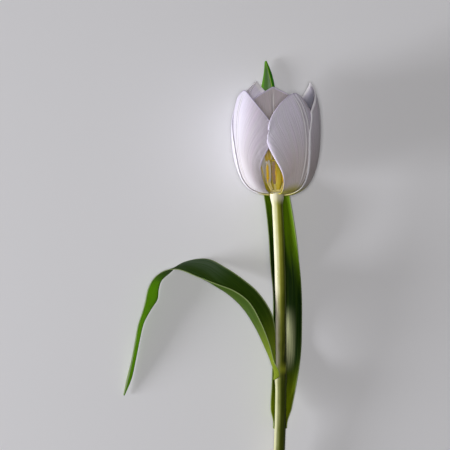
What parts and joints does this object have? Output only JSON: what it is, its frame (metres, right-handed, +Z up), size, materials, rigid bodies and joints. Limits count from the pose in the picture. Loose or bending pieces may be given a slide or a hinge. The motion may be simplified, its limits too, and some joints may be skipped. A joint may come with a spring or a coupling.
{
  "type": "cut tulip",
  "caption": "Cut tulip lying down: a long stem with a cup-shaped bloom of overlapping petals, an arching side leaf and a long channelled leaf underneath.",
  "frame": {"origin": "middle of the flower's outline seen from above, on the surface that it lies on", "axes": "+Y from the cut end of the stem to the bloom, +X to the right seen from above, +Z up from the surface"},
  "size_m": [0.1094, 0.267, 0.0502],
  "materials": {
    "stem": "smooth, waxy, cream to olive green",
    "petal": "satin white with fine lengthwise veins",
    "stamen": "matt, golden brown",
    "pistil": "satin, pale yellow-green",
    "leaf": "waxy green with lengthwise veins"
  },
  "bodies": {
    "root": {"stem": "stem", "petal_inner_left": "petal", "petal_inner_right": "petal", "petal_inner_back": "petal", "petal_outer_left": "petal", "petal_outer_right": "petal", "stamens": "stamen", "pistil": "pistil", "leaf_upper": "leaf", "leaf_lower": "leaf"}
  },
  "joints": []
}
